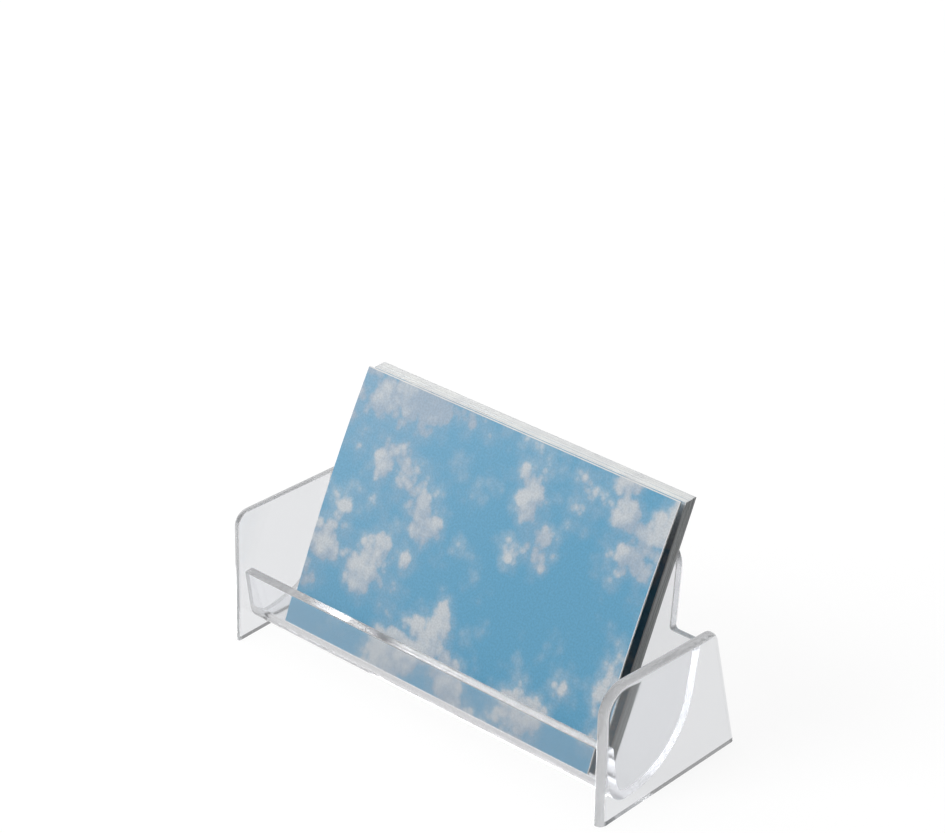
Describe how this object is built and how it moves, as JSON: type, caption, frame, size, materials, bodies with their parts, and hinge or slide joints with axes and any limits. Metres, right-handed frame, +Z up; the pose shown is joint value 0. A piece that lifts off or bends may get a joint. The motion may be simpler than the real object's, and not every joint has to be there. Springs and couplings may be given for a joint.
{
  "type": "business card holder stand",
  "caption": "Clear plastic desk stand with a curved trough and tall back tongue between two side cheeks, holding a leaning pack of business cards.",
  "frame": {"origin": "on the table, midway between the cheeks and midway between the front and back ends of their feet", "axes": "+X along the cards to the right as seen from the front, +Y from the lip to the back, +Z up"},
  "size_m": [0.104, 0.039, 0.0539],
  "materials": {
    "clear_plastic": "polished clear",
    "printed_card": "satin print"
  },
  "bodies": {
    "holder": {"left_cheek": "clear_plastic", "right_cheek": "clear_plastic", "card_trough": "clear_plastic"},
    "card_01": {"card_01": "printed_card"},
    "card_02": {"card_02": "printed_card"},
    "card_03": {"card_03": "printed_card"},
    "card_04": {"card_04": "printed_card"},
    "card_05": {"card_05": "printed_card"},
    "card_06": {"card_06": "printed_card"},
    "card_07": {"card_07": "printed_card"},
    "card_08": {"card_08": "printed_card"},
    "card_09": {"card_09": "printed_card"}
  },
  "joints": [
    {"name": "card_01_lift", "type": "slide", "parent": "holder", "child": "card_01", "axis": [0, 0.4959, 0.8684], "range_m": [0, 0.06]},
    {"name": "card_02_lift", "type": "slide", "parent": "holder", "child": "card_02", "axis": [0, 0.4959, 0.8684], "range_m": [0, 0.06]},
    {"name": "card_03_lift", "type": "slide", "parent": "holder", "child": "card_03", "axis": [0, 0.4959, 0.8684], "range_m": [0, 0.06]},
    {"name": "card_04_lift", "type": "slide", "parent": "holder", "child": "card_04", "axis": [0, 0.4959, 0.8684], "range_m": [0, 0.06]},
    {"name": "card_05_lift", "type": "slide", "parent": "holder", "child": "card_05", "axis": [0, 0.4959, 0.8684], "range_m": [0, 0.06]},
    {"name": "card_06_lift", "type": "slide", "parent": "holder", "child": "card_06", "axis": [0, 0.4959, 0.8684], "range_m": [0, 0.06]},
    {"name": "card_07_lift", "type": "slide", "parent": "holder", "child": "card_07", "axis": [0, 0.4959, 0.8684], "range_m": [0, 0.06]},
    {"name": "card_08_lift", "type": "slide", "parent": "holder", "child": "card_08", "axis": [0, 0.4959, 0.8684], "range_m": [0, 0.06]},
    {"name": "card_09_lift", "type": "slide", "parent": "holder", "child": "card_09", "axis": [0, 0.4959, 0.8684], "range_m": [0, 0.06]}
  ]
}
